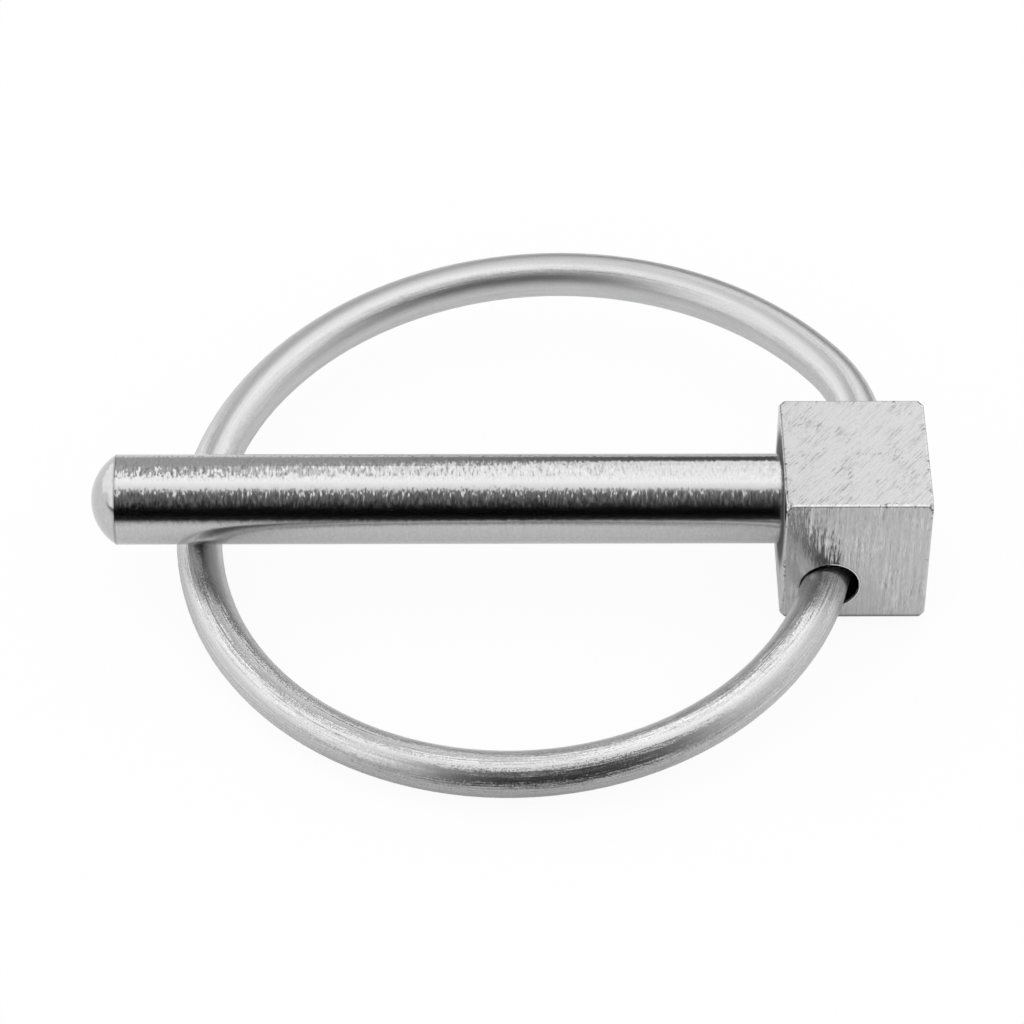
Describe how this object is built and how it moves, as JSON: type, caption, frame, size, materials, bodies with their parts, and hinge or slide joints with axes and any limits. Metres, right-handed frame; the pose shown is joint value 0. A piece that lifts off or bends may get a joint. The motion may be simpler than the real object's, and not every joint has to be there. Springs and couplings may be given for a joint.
{
  "type": "locking pin",
  "caption": "Round steel pin with a domed end and a square head. A spring wire ring hinged in the head swings over and lies against the shank to keep the pin in its hole.",
  "frame": {"origin": "on the shank's axis, in the plane of the head's shoulder", "axes": "+X along the shank's axis into the head, so the domed end points to -X; +Z away from the closed ring, which lies below the shank; +Y towards the mouth of the bore that is further from the shoulder"},
  "size_m": [0.0546, 0.0478, 0.0108],
  "materials": {
    "pin_steel": "turned and drawn bright steel, brushed on the head's faces",
    "ring_steel": "drawn spring steel wire with fine lines along it"
  },
  "bodies": {
    "pin": {"pin": "pin_steel"},
    "ring": {"ring": "ring_steel"}
  },
  "joints": [
    {"name": "ring_swing", "type": "hinge", "parent": "pin", "child": "ring", "pos_m": [0.00422, 0, -0.00271], "axis": [-0.2718, -0.9596, -0.0734], "range_deg": [0, 347]}
  ]
}
